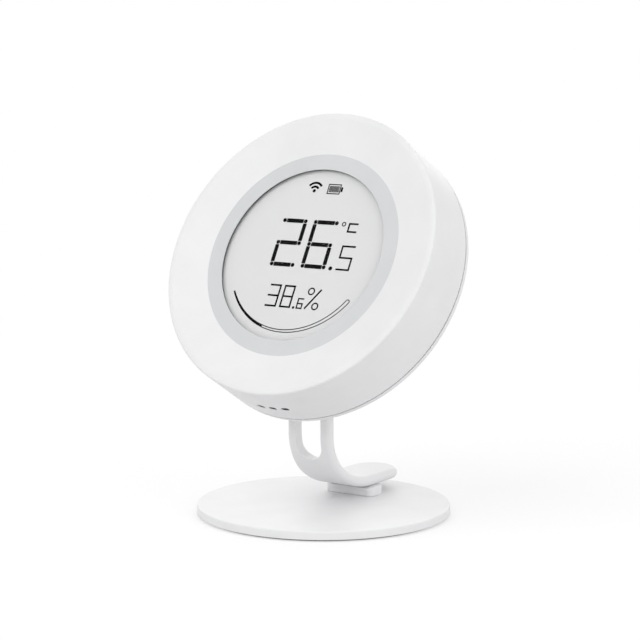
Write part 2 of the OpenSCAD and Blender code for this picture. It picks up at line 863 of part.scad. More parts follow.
module arm_screws() {
    color(steel) at_arm_screws() {
        translate([0, 0, pad_t]) cylinder(d = arm_screw_head_d, h = screw_head_t);
        translate([0, 0, pad_t]) cylinder(d = arm_screw_d, h = foot_z + arm_screw_bite - pad_t);
    }
}

front_housing();
display_ring();
light_gasket();
display_window();
lcd_panel();
lcd_frame();
zebra_strip();
main_board();
radio_module();
sensor_chip();
vent_membrane();
battery_holder();
contact_positive();
contact_negative();
coin_cell();
tact_switch();
board_screws();
rear_cover();
cover_screws();
battery_door();
cell_pad();
pair_button();
switch_plunger();
arm();
tilt_pin();
friction_washers();
foot_block();
base_plate();
anti_slip_pad();
arm_screws();
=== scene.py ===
"""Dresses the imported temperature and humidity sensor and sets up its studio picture.

Lengths are in metres unless a class says otherwise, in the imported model's frame: +Z up,
the display facing -Y, and the origin in the middle of the base, on the surface that it
stands on.
"""

import json
import logging
import math
from collections.abc import Iterable, Sequence
from dataclasses import dataclass, field
from enum import Enum

import bmesh
import bpy
from bmesh.types import BMesh, BMVert
from bpy.types import Camera, Light, Material, Node, NodeSocket, NodeTree, Object
from mathutils import Matrix, Vector


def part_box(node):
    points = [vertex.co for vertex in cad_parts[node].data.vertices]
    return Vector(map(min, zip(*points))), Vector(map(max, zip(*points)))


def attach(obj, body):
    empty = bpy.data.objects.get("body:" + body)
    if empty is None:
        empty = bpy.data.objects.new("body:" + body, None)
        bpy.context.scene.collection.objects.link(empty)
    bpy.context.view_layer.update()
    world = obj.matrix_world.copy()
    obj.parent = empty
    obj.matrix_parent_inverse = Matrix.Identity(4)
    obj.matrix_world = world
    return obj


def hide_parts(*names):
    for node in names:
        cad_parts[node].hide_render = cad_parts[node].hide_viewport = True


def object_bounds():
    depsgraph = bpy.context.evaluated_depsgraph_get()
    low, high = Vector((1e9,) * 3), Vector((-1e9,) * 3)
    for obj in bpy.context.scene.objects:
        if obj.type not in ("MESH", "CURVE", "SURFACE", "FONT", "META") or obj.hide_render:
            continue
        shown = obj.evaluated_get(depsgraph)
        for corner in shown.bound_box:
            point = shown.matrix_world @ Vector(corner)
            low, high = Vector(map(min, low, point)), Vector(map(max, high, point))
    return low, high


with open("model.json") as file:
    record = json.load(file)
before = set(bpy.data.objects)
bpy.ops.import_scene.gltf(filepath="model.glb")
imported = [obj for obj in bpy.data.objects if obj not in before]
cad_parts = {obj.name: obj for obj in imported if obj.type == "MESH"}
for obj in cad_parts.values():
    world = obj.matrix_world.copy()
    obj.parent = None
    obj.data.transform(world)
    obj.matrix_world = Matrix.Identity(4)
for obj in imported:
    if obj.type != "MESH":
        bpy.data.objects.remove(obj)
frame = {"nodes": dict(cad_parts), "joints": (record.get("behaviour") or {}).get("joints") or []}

CAD_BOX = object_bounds()
MM = 0.001
TINY = 1e-9
PURE_WHITE = (1.0, 1.0, 1.0, 1.0)

# Points nearer than this are one point, and faces that turn less than this one face
MERGE = 0.001 * MM
FLAT_DEG = 0.5

# Least turn of an edge that stays sharp, and of one that is rounded off
SHARP_DEG = 35.0
SOFT_DEG = 40.0

# Stretches in a rounded edge, and the share of its width within which points are one
SOFT_STEPS = 2
SOFT_MERGE = 0.05

# Stretches in a fine rounding, and round large and small pieces, dots and rings
FINE_STEPS = 8
LARGE_ROUND = 256
SMALL_ROUND = 96
DOT_POINTS = 24
RING_POINTS = 36

Point = tuple[float, float]
Triple = tuple[float, float, float]
Colour = tuple[float, float, float]

# What goes into an input of a shader node
Fill = NodeSocket | float | tuple[float, ...]

log = logging.getLogger("sensor")


# Mesh tools


class Cut(Enum):
    """What a tool mesh does to the body that it meets."""

    TAKE_AWAY = "DIFFERENCE"
    JOIN = "UNION"


@dataclass(frozen=True)
class Corner:
    """A corner of an outline, with the radius that rounds it.

    A turned outline gives the distance from the axis and the depth; a flat one x and y.
    """

    a: float
    b: float
    fillet: float = 0.0


def arc(centre: Point, radius: float, start: float, end: float, steps: int,
        end_radius: float | None = None) -> list[Point]:
    """Points on an arc, or on a spiral where the radius changes on the way.

    Args:
        centre: Middle of the arc.
        radius: Radius of the arc at its start.
        start: Angle of the first point, in degrees.
        end: Angle of the last point, in degrees.
        steps: Number of stretches between the points.
        end_radius: Radius at its end, where that is another one.

    Returns:
        The points, from start to end.
    """
    grow = 0.0 if end_radius is None else end_radius - radius
    points: list[Point] = []
    for k in range(steps + 1):
        t = math.radians(start + (end - start) * k / steps)
        r = radius + grow * k / steps
        points.append((centre[0] + r * math.cos(t), centre[1] + r * math.sin(t)))
    return points


def circle(centre: Point, radius: float, count: int) -> list[Point]:
    """Points that are spread evenly on a full circle."""
    return arc(centre, radius, 0, 360 - 360 / count, count - 1)


def rounded(corners: Sequence[Corner], steps: int = 5) -> list[Point]:
    """Rounds the corners of a closed outline.

    Args:
        corners: The corners in order, each with its own radius.
        steps: Number of stretches in each rounding.

    Returns:
        The points of the rounded outline.
    """
    points: list[Point] = []
    for i, corner in enumerate(corners):
        here = Vector((corner.a, corner.b))
        if corner.fillet <= 0:
            points.append((corner.a, corner.b))
            continue
        following = corners[(i + 1) % len(corners)]
        back = (Vector((corners[i - 1].a, corners[i - 1].b)) - here).normalized()
        ahead = (Vector((following.a, following.b)) - here).normalized()
        half = back.angle(ahead) / 2
        centre = here + (back + ahead).normalized() * (corner.fillet / math.sin(half))
        first = here + back * (corner.fillet / math.tan(half)) - centre
        last = here + ahead * (corner.fillet / math.tan(half)) - centre
        start = math.degrees(math.atan2(first.y, first.x))
        turn = math.degrees(math.atan2(last.y, last.x)) - start
        turn = (turn + 180) % 360 - 180
        points += arc((centre.x, centre.y), corner.fillet, start, start + turn, steps)
    return points


def bridge(bm: BMesh, first: Sequence[BMVert], second: Sequence[BMVert],
           closed: bool = True) -> None:
    """Adds the faces between two rows of points, one of which may be a single point.

    Args:
        bm: The mesh.
        first: Points of the one row.
        second: Points of the other row.
        closed: Whether the rows run back to their start.
    """
    count = max(len(first), len(second))
    for k in range(count if closed else count - 1):
        n = (k + 1) % count
        corners = [row[i % len(row)]
                   for row, i in ((first, k), (first, n), (second, n), (second, k))]
        bm.faces.new(dict.fromkeys(corners))


def turned(outline: Sequence[Point], matrix: Matrix, segments: int = 192) -> BMesh:
    """Turns a closed outline about an axis.

    Args:
        outline: Points of (distance from the axis, depth against the axis).
        matrix: Puts the axis, which is +Z, in place.
        segments: Number of steps round the axis.

    Returns:
        The turned mesh.
    """
    bm = bmesh.new()
    turns = [2 * math.pi * k / segments for k in range(segments)]
    rings = [
        [bm.verts.new(matrix @ Vector((r * math.cos(t), r * math.sin(t), -s))) for t in turns]
        if r > TINY else [bm.verts.new(matrix @ Vector((0.0, 0.0, -s)))]
        for r, s in outline
    ]
    for ring, following in zip(rings, rings[1:] + rings[:1]):
        if len(ring) + len(following) > 2:
            bridge(bm, ring, following)
    bmesh.ops.recalc_face_normals(bm, faces=bm.faces)
    return bm


def extruded(outline: Sequence[Point], low: float, high: float, matrix: Matrix) -> BMesh:
    """Raises a closed flat outline into a solid.

    Args:
        outline: Points of (x, y).
        low: Where the solid starts, along +Z.
        high: Where the solid ends, along +Z.
        matrix: Puts the solid in place.

    Returns:
        The solid's mesh.
    """
    bm = bmesh.new()
    rows = [[bm.verts.new(matrix @ Vector((x, y, z))) for x, y in outline] for z in (low, high)]
    for row in rows:
        bm.faces.new(row)
    bridge(bm, *rows)
    bmesh.ops.recalc_face_normals(bm, faces=bm.faces)
    return bm


def gathered(meshes: Iterable[BMesh]) -> BMesh:
    """Puts several meshes into the first of them.

    Args:
        meshes: The meshes; all but the first are used up.

    Returns:
        The first mesh, with the others in it.
    """
    whole, *others = meshes
    for other in others:
        spare = bpy.data.meshes.new("spare")
        other.to_mesh(spare)
        other.free()
        whole.from_mesh(spare)
        bpy.data.meshes.remove(spare)
    return whole


def carved(body: BMesh, tool: BMesh, mode: Cut) -> BMesh:
    """Cuts or joins one mesh with another.

    Args:
        body: The mesh that is changed; it is used up.
        tool: The mesh that changes it; it is used up.
        mode: What the tool does.

    Returns:
        The changed mesh.
    """
    objects = [as_object(name, bm) for name, bm in (("carve_body", body), ("carve_tool", tool))]
    step = objects[0].modifiers.new("carve", "BOOLEAN")
    step.operation, step.solver, step.object = mode.value, "EXACT", objects[1]
    shown = objects[0].evaluated_get(bpy.context.evaluated_depsgraph_get())
    result = bmesh.new()
    result.from_mesh(shown.to_mesh())
    shown.to_mesh_clear()
    for obj in objects:
        mesh = obj.data
        bpy.data.objects.remove(obj)
        bpy.data.meshes.remove(mesh)
    return result


def softened(bm: BMesh, width: float) -> BMesh:
    """Rounds off every edge that turns sharply.

    Args:
        bm: The mesh, which is changed.
        width: Width of the rounding.

    Returns:
        The same mesh.
    """
    bmesh.ops.remove_doubles(bm, verts=bm.verts, dist=width * SOFT_MERGE)
    least = math.radians(SOFT_DEG)
    edges = [e for e in bm.edges if len(e.link_faces) == 2 and e.calc_face_angle(0.0) > least]
    bmesh.ops.bevel(
        bm, geom=edges, offset=width, offset_type="OFFSET", segments=SOFT_STEPS, profile=0.5,
        affect="EDGES", clamp_overlap=True,
    )
    return bm


def copy_of(node: str) -> BMesh:
    """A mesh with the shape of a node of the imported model, with its flat faces joined up.

    Args:
        node: Name of the node.

    Returns:
        The copy.
    """
    bm = bmesh.new()
    bm.from_mesh(frame["nodes"][node].data)
    bmesh.ops.remove_doubles(bm, verts=bm.verts, dist=MERGE)
    bmesh.ops.dissolve_limit(bm, angle_limit=math.radians(FLAT_DEG), verts=bm.verts,
                             edges=bm.edges)
    return bm


def as_object(name: str, bm: BMesh) -> Object:
    """Turns a mesh into an object of the scene, smooth but for its sharp edges.

    Args:
        name: Name of the object.
        bm: Its mesh, which is used up.

    Returns:
        The object.
    """
    mesh = bpy.data.meshes.new(name)
    bm.to_mesh(mesh)
    bm.free()
    mesh.shade_smooth()
    mesh.set_sharp_from_angle(angle=math.radians(SHARP_DEG))
    obj = bpy.data.objects.new(name, mesh)
    bpy.context.scene.collection.objects.link(obj)
    return obj


# Finishes


class Working(Enum):
    """What a node works out, where its type leaves that open."""

    PRODUCT = "MULTIPLY"
    LARGER = "MAXIMUM"
    LENGTH = "LENGTH"


def fill(node: Node, inputs: dict[str | int, Fill]) -> None:
    """Links or sets inputs of a shader node.

    Args:
        node: The node.
        inputs: For each input, the output that feeds it or its plain value.
    """
    for key, value in inputs.items():
        if isinstance(value, NodeSocket):
            node.id_data.links.new(value, node.inputs[key])
        else:
            node.inputs[key].default_value = value


def add_node(tree: NodeTree, kind: str, inputs: dict[str | int, Fill] | None = None,
             mode: Working | None = None) -> Node:
    """Adds a shader node.

    Args:
        tree: The tree that it goes into.
        kind: Its type, without the first part that all types share.
        inputs: For each input, the output that feeds it or its plain value.
        mode: What it works out, where its type leaves that open.

    Returns:
        The node.
    """
    node = tree.nodes.new("ShaderNode" + kind)
    if mode:
        node.operation = mode.value
    fill(node, inputs or {})
    return node


@dataclass(frozen=True)
class Finish:
    """A moulded or coated surface with faint mottling and a fine grain."""

    name: str
    colour: Colour
    roughness: float = 0.45
    rough_spread: float = 0.05
    smoothest: float = 0.02
    metallic: float = 0.0
    specular: float = 0.5
    mottle: float = 0.02
    mottle_size: float = 9 * MM
    mottle_run: Point = (0.3, 0.7)
    grain_size: float = 0.18 * MM
    grain_depth: float = 0.004 * MM
    detail: float = 3.0

    def material(self) -> Material:
        """Makes the finish's material at its first use.

        Returns:
            The material.
        """
        made = bpy.data.materials.get(self.name)
        if made is None:
            made = bpy.data.materials.new(self.name)
            made.use_nodes = True
            self.lay_out(made.node_tree, made.node_tree.nodes["Principled BSDF"])
        return made

    def lay_out(self, tree: NodeTree, shader: Node) -> None:
        """Fills the material's nodes.

        Args:
            tree: The material's node tree.
            shader: Its surface shader.
        """
        place = add_node(tree, "TexCoord").outputs["Object"]
        self.colour_by(tree, self.noise(tree, place, self.mottle_size), shader)
        grain = self.grain(tree, place)
        spread = add_node(tree, "MapRange", {
            "Value": grain,
            "To Min": max(self.smoothest, self.roughness - self.rough_spread),
            "To Max": min(1.0, self.roughness + self.rough_spread),
        })
        bump = add_node(tree, "Bump", {
            "Strength": 1.0, "Distance": self.grain_depth, "Height": grain,
        })
        fill(shader, {
            "Metallic": self.metallic, "Specular IOR Level": self.specular,
            "Roughness": spread.outputs["Result"], "Normal": bump.outputs["Normal"],
        })

    def noise(self, tree: NodeTree, place: NodeSocket, size: float) -> NodeSocket:
        """Noise with features of a size, read at a place on the piece."""
        inputs = {"Vector": place, "Scale": 1 / size, "Detail": self.detail}
        return add_node(tree, "TexNoise", inputs).outputs["Fac"]

    def grain(self, tree: NodeTree, place: NodeSocket) -> NodeSocket:
        """The height of the fine grain, from 0 to 1."""
        return self.noise(tree, place, self.grain_size)

    def colour_by(self, tree: NodeTree, value: NodeSocket, shader: Node) -> None:
        """Lets a value shift the colour a little to both sides.

        Args:
            tree: The material's node tree.
            value: The value, from 0 to 1.
            shader: The surface shader.
        """
        low, high = (tuple(min(1.0, c * k) for c in self.colour)
                     for k in (1 - self.mottle, 1 + self.mottle))
        self.ramp(tree, value, self.mottle_run, (low, high), shader)

    def ramp(self, tree: NodeTree, value: NodeSocket, run: Point,
             colours: tuple[Colour, Colour], shader: Node) -> None:
        """Runs from one colour to another with a value.

        Args:
            tree: The material's node tree.
            value: The value that chooses the colour.
            run: Values where the run starts and ends.
            colours: Colours where the run starts and ends.
            shader: The surface shader.
        """
        ramp = add_node(tree, "ValToRGB", {"Fac": value})
        for stop, where, colour in zip(ramp.color_ramp.elements, run, colours):
            stop.position, stop.color = where, (*colour, 1.0)
        fill(shader, {"Base Color": ramp.outputs["Color"]})


@dataclass(frozen=True)
class Drawn(Finish):
    """Metal with fine lines along one axis."""

    stretch: Triple = (1.0, 1.0, 12.0)

    def grain(self, tree: NodeTree, place: NodeSocket) -> NodeSocket:
        """The height of the drawn lines, from 0 to 1."""
        inputs = {"Vector": place, "Scale": tuple(1 / k for k in self.stretch)}
        return self.noise(tree, add_node(tree, "Mapping", inputs).outputs["Vector"],
                          self.grain_size)


@dataclass(frozen=True)
class Foam(Finish):
    """Foam or rubber with small closed cells."""

    def grain(self, tree: NodeTree, place: NodeSocket) -> NodeSocket:
        """The height of the cells, from 0 to 1."""
        inputs = {"Vector": place, "Scale": 1 / self.grain_size}
        return add_node(tree, "TexVoronoi", inputs).outputs["Distance"]


@dataclass(frozen=True)
class Board(Finish):
    """Solder mask over copper tracks."""

    track: Colour = (0.07, 0.33, 0.17)
    track_pitch: float = 4.8 * MM
    track_bend: float = 6.0
    track_run: Point = (0.25, 0.3)

    def colour_by(self, tree: NodeTree, value: NodeSocket, shader: Node) -> None:
        """Shows the tracks as bands of a lighter green that the value bends.

        Args:
            tree: The material's node tree.
            value: The value, from 0 to 1.
            shader: The surface shader.
        """
        place = add_node(tree, "TexCoord").outputs["Object"]
        bands = add_node(tree, "TexWave", {
            "Vector": place, "Scale": 1 / self.track_pitch, "Distortion": self.track_bend,
        })
        blend = add_node(tree, "Math", {0: bands.outputs["Fac"], 1: value}, Working.PRODUCT)
        self.ramp(tree, blend.outputs["Value"], self.track_run, (self.colour, self.track), shader)


@dataclass(frozen=True)
class Clear(Finish):
    """A clear hard-coated sheet that shows little of itself but its gloss."""

    cover: float = 0.03

    def lay_out(self, tree: NodeTree, shader: Node) -> None:
        """Fills the nodes, and lets most of the light straight through."""
        super().lay_out(tree, shader)
        fill(shader, {"Alpha": self.cover})


WHITE = Finish("moulded_white", (0.80, 0.80, 0.808), roughness=0.42)
COATED = Finish("coated_white", (0.835, 0.835, 0.843), roughness=0.5, grain_size=0.12 * MM)
RING = Finish("satin_grey", (0.615, 0.628, 0.637), roughness=0.4)
CLEAR = Clear("clear_sheet", (0.02, 0.022, 0.022), roughness=0.08, grain_depth=0.0002 * MM)
PANEL = Finish("display_grey", (0.815, 0.815, 0.818), roughness=0.6, specular=0.2, mottle=0.008,
               mottle_size=14 * MM, grain_size=0.09 * MM)
INK = Finish("display_ink", (0.002, 0.002, 0.0022), roughness=0.6, specular=0.04, mottle=0.2,
             mottle_size=2 * MM)
FOAM = Foam("dark_foam", (0.01, 0.01, 0.01), roughness=0.9, specular=0.03,
            grain_size=0.12 * MM, grain_depth=0.03 * MM)
RUBBER = Foam("soft_grey", (0.26, 0.26, 0.26), roughness=0.75, grain_size=0.5 * MM,
              grain_depth=0.04 * MM)
BLACK = Finish("moulded_black", (0.02, 0.02, 0.022), roughness=0.5)
STEEL = Drawn("drawn_steel", (0.62, 0.62, 0.63), roughness=0.28, metallic=1.0,
              grain_size=0.06 * MM)
GOLD = Drawn("drawn_gold", (0.83, 0.60, 0.24), roughness=0.25, metallic=1.0,
             grain_size=0.05 * MM)
BOARD = Board("masked_board", (0.02, 0.14, 0.06), roughness=0.35)


# Placing


def packed_joint(name: str) -> dict:
    """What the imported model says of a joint."""
    return next(j for j in frame["joints"] if j["name"] == name)


@dataclass(frozen=True)
class Extent:
    """The box of a node in the head's axes: across, up, and depth behind the rim."""

    low: Vector
    high: Vector

    @property
    def mid(self) -> Vector:
        """Middle of the box."""
        return (self.low + self.high) / 2

    @property
    def radius(self) -> float:
        """Half of the box's width, which is the radius of a round piece."""
        return (self.high.x - self.low.x) / 2


@dataclass(frozen=True)
class HeadFrame:
    """The head's own axes: across and up the display, and out of it."""

    origin: Vector
    up: Vector
    out: Vector

    @classmethod
    def of_model(cls) -> "HeadFrame":
        """Finds the axes from the button's travel and the front housing's box.

        Returns:
            The axes, with their origin in the middle of the rim.
        """
        out = Vector(packed_joint("button_press")["axis"]).normalized()
        loose = cls(Vector(), Vector((0.0, out.z, -out.y)), out)
        box = loose.extent("front_housing")
        return cls(loose.place(box.mid.x, box.mid.y, box.low.z), loose.up, out)

    @property
    def matrix(self) -> Matrix:
        """Takes (across, up, out of the display) to the model's frame."""
        turn = Matrix((Vector((1.0, 0.0, 0.0)), self.up, self.out)).transposed().to_4x4()
        return Matrix.Translation(self.origin) @ turn

    def place(self, across: float, up: float, depth: float) -> Vector:
        """A point of the head in the model's frame."""
        return self.matrix @ Vector((across, up, -depth))

    def extent(self, node: str) -> Extent:
        """The box of a node in the head's axes.

        Args:
            node: Name of the node.

        Returns:
            Its box.
        """
        back = self.matrix.inverted()
        points = [back @ v.co for v in frame["nodes"][node].data.vertices]
        rows = [(p.x, p.y, -p.z) for p in points]
        return Extent(Vector(map(min, zip(*rows))), Vector(map(max, zip(*rows))))


class Body(Enum):
    """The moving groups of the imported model."""

    STAND = "stand"
    HEAD = "head"
    DOOR = "door"
    BUTTON = "button"


def add_piece(name: str, bm: BMesh, body: Body, finish: Finish, *replaces: str,
              slot: str | None = None) -> Object:
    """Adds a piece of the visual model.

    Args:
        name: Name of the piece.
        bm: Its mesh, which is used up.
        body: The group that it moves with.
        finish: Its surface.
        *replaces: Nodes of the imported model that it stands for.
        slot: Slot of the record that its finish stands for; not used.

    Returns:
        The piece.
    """
    obj = as_object(name, bm)
    even = obj.modifiers.new("even_shading", "WEIGHTED_NORMAL")
    even.keep_sharp = True
    obj.data.materials.append(finish.material())
    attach(obj, body.value)
    if replaces:
        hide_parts(*replaces)
    log.info("%s: %d faces on %s", name, len(obj.data.polygons), body.value)
    return obj


def dress_nodes(finish: Finish, *nodes: str) -> None:
    """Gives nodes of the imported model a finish.

    Args:
        finish: The finish.
        *nodes: Names of the nodes.
    """
    for node in nodes:
        for slot in frame["nodes"][node].material_slots:
            slot.material = finish.material()
        log.info("%s: node kept, with the finish %s", node, finish.name)


# The head


@dataclass
class HeadShell:
    """The white housing with its dished bezel and vents, and the rear cover."""

    head: HeadFrame
    draft: float = 0.3 * MM
    rim_width: float = 1.2 * MM
    rim_round: float = 0.45 * MM
    rim_blend: float = 4.0 * MM
    side_wall: float = 1.8 * MM
    front_wall: float = 2.3 * MM
    ledge: float = 1.9 * MM
    seat_gap: float = 0.05 * MM
    edge: float = 0.12 * MM
    vents: int = 3
    vent_length: float = 2.0 * MM
    vent_height_share: float = 0.25
    vent_steps: int = 32
    end_steps: int = 12
    vent_skin: float = 0.15 * MM
    cover_edge: float = 0.2 * MM

    def build(self) -> None:
        """Makes the housing and the cover, and dresses what they hold together."""
        housing = self.housing()
        screen, *tools = self.vent_shapes()
        for tool in tools:
            housing = carved(housing, tool, Cut.TAKE_AWAY)
        add_piece("front_shell", housing, Body.HEAD, WHITE, "front_housing",
                  slot="white_plastic")
        add_piece("vent_screen", screen, Body.HEAD, FOAM, slot="black_foam")
        cover = softened(copy_of("rear_cover"), self.cover_edge)
        add_piece("rear_shell", cover, Body.HEAD, WHITE, "rear_cover", slot="white_plastic")
        dress_nodes(STEEL, "cover_screws", "board_screws")
        dress_nodes(FOAM, "vent_membrane")

    def housing(self) -> BMesh:
        """Turns the housing, before its vents are cut.

        Returns:
            The housing's mesh.
        """
        box = self.head.extent("front_housing")
        ring = self.head.extent("display_ring")
        window = self.head.extent("display_window")
        front_r = self.head.extent("rear_cover").radius - self.draft
        seat_r, seat_s = ring.radius + self.seat_gap, ring.low.z
        inside = front_r - self.side_wall
        aperture = seat_r - self.ledge
        outline = rounded([
            Corner(seat_r, seat_s),
            Corner(front_r - self.rim_width, 0, self.rim_blend),
            Corner(front_r, 0, self.rim_round),
            Corner(box.radius, box.high.z, self.edge),
            Corner(inside, box.high.z, self.edge),
            Corner(inside, self.front_wall),
            Corner(seat_r, seat_s + self.front_wall),
            Corner(aperture, seat_s + self.front_wall),
            Corner(aperture, window.high.z),
            Corner(seat_r, window.high.z),
        ], FINE_STEPS)
        return turned(outline, self.head.matrix, LARGE_ROUND)

    def vent_shapes(self) -> list[BMesh]:
        """Makes the shapes that the vents need.

        Returns:
            The dark screen behind the vents, the hollow that it fills, and the slots.
        """
        membrane = self.head.extent("vent_membrane")
        box = self.head.extent("front_housing")
        span = membrane.high.x - membrane.low.x
        height = (membrane.high.z - membrane.low.z) * self.vent_height_share
        reach = box.radius - self.draft * (1 - membrane.mid.z / box.high.z)
        turn = math.degrees(math.asin(span / 2 / reach))
        start, end, steps = -90 - turn, -90 + turn, self.vent_steps
        shapes = []
        for gap, wall in ((self.seat_gap, self.side_wall), (0.0, 2 * self.side_wall)):
            outline = arc((0, 0), reach - self.vent_skin - gap, start, end, steps)
            outline += arc((0, 0), reach - wall, end, start, steps)
            shapes.append(extruded(outline, gap - height - membrane.mid.z,
                                   height - gap - membrane.mid.z, self.head.matrix))
        down = Matrix.Rotation(math.radians(90), 4, "X")
        middle = self.head.matrix @ Matrix.Translation((0, 0, -membrane.mid.z)) @ down
        places = [(k - (self.vents - 1) / 2) * span / self.vents for k in range(self.vents)]
        shapes.append(gathered(
            extruded(self.slot_outline(height), reach - self.side_wall, reach + self.side_wall,
                     middle @ Matrix.Translation((x, 0, 0)))
            for x in places
        ))
        return shapes

    def slot_outline(self, height: float) -> list[Point]:
        """The outline of a vent with round ends."""
        half, r, steps = (self.vent_length - height) / 2, height / 2, self.end_steps
        return arc((half, 0), r, -90, 90, steps) + arc((-half, 0), r, 90, 270, steps)


class Ends(Enum):
    """How the segments of a figure end where they meet."""

    DOTTED = "dotted"
    PLAIN = "plain"


FIGURES = {"2": "abged", "3": "abgcd", "5": "afgcd", "6": "afgecd", "8": "abcdefg"}
SEGMENT_ENDS = {
    "a": ((0, 0), (1, 0)), "b": ((1, 0), (1, 1)), "c": ((1, 1), (1, 2)), "d": ((0, 2), (1, 2)),
    "e": ((0, 1), (0, 2)), "f": ((0, 0), (0, 1)), "g": ((0, 1), (1, 1)),
}


@dataclass
class Ink:
    """Flat shapes of one group of segments or marks, gathered into one mesh.

    Places and strokes are in millimetres, and the depths of front and back in metres.
    """

    head: HeadFrame
    front: float
    back: float
    shift: Point = (0.0, 0.0)
    bm: BMesh = field(default_factory=bmesh.new)

    def rows(self, points: Sequence[Point]) -> list[list[BMVert]]:
        """Vertices of an outline on the front and on the back of the ink."""
        return [
            [self.bm.verts.new(self.head.place((x + self.shift[0]) * MM,
                                               (y + self.shift[1]) * MM, depth))
             for x, y in points]
            for depth in (self.front, self.back)
        ]

    def plate(self, outline: Sequence[Point]) -> None:
        """Adds a flat shape.

        Args:
            outline: Its corners, about the middle of the ink.
        """
        front, back = self.rows(outline)
        self.bm.faces.new(front)
        self.bm.faces.new(reversed(back))
        bridge(self.bm, front, back)

    def band(self, outer: Sequence[Point], inner: Sequence[Point], closed: bool) -> None:
        """Adds the strip between two lines with as many points.

        Args:
            outer: Points of the one line.
            inner: Points of the other line.
            closed: Whether the strip runs back to its start.
        """
        lines = [*self.rows(outer), *reversed(self.rows(inner))]
        for line, following in zip(lines, lines[1:] + lines[:1]):
            bridge(self.bm, line, following, closed)
        if not closed:
            for k in (0, -1):
                self.bm.faces.new([line[k] for line in lines])

    def dot(self, centre: Point, radius: float) -> None:
        """Adds a round dot."""
        self.plate(circle(centre, radius, DOT_POINTS))

    def ring(self, centre: Point, radius: float, stroke: float) -> None:
        """Adds a ring with its line on a radius."""
        outer, inner = (circle(centre, radius + k * stroke / 2, RING_POINTS) for k in (1, -1))
        self.band(outer, inner, closed=True)

    def line(self, start: Point, end: Point, stroke: float) -> None:
        """Adds a straight line with square ends.

        Args:
            start: Where it starts.
            end: Where it ends.
            stroke: Its width.
        """
        a, b = Vector(start), Vector(end)
        side = (b - a).normalized().orthogonal() * stroke / 2
        self.plate([tuple(p) for p in (a - side, b - side, b + side, a + side)])

    def sweep(self, centre: Point, radius: float, turn: Point, strokes: Point,
              steps: int = 64) -> None:
        """Adds an arc whose width may change along it.

        Args:
            centre: Middle of the arc.
            radius: Radius of its middle line.
            turn: First and last angle, in degrees.
            strokes: First and last width.
            steps: Number of stretches along it.
        """
        first, last = (stroke / 2 for stroke in strokes)
        outer, inner = (arc(centre, radius + k * first, *turn, steps, radius + k * last)
                        for k in (1, -1))
        self.band(outer, inner, closed=False)

    def trace(self, path: Sequence[Point], stroke: float) -> None:
        """Adds a thin line along a path.

        Args:
            path: Points of its middle line.
            stroke: Its width.
        """
        points = [Vector(p) for p in path]
        sides: tuple[list[Point], list[Point]] = ([], [])
        for k, point in enumerate(points):
            along = points[min(k + 1, len(points) - 1)] - points[max(k - 1, 0)]
            across = along.normalized().orthogonal() * stroke / 2
            for side, sign in zip(sides, (1, -1)):
                side.append(tuple(point + across * sign))
        self.band(*sides, closed=False)

    def figure(self, sign: str, columns: Point, rows: Triple, stroke: float, ends: Ends,
               slit: float) -> None:
        """Adds a figure of seven segments.

        Args:
            sign: The figure.
            columns: Middle lines of the left and right segments.
            rows: Middle lines of the upper, middle and lower segments.
            stroke: Width of the segments.
            ends: How the segments end where they meet.
            slit: Gap between a segment and its neighbour.
        """
        used = set()
        for key in FIGURES[sign]:
            (c0, r0), (c1, r1) = SEGMENT_ENDS[key]
            used |= {(c0, r0), (c1, r1)}
            a, b = Vector((columns[c0], rows[r0])), Vector((columns[c1], rows[r1]))
            short = stroke / 2 + slit
            if ends is Ends.PLAIN and r0 == r1:
                short = -stroke / 2
            trim = (b - a).normalized() * short
            self.line(tuple(a + trim), tuple(b - trim), stroke)
        if ends is Ends.DOTTED:
            for c, r in sorted(used):
                self.dot((columns[c], rows[r]), stroke / 2)


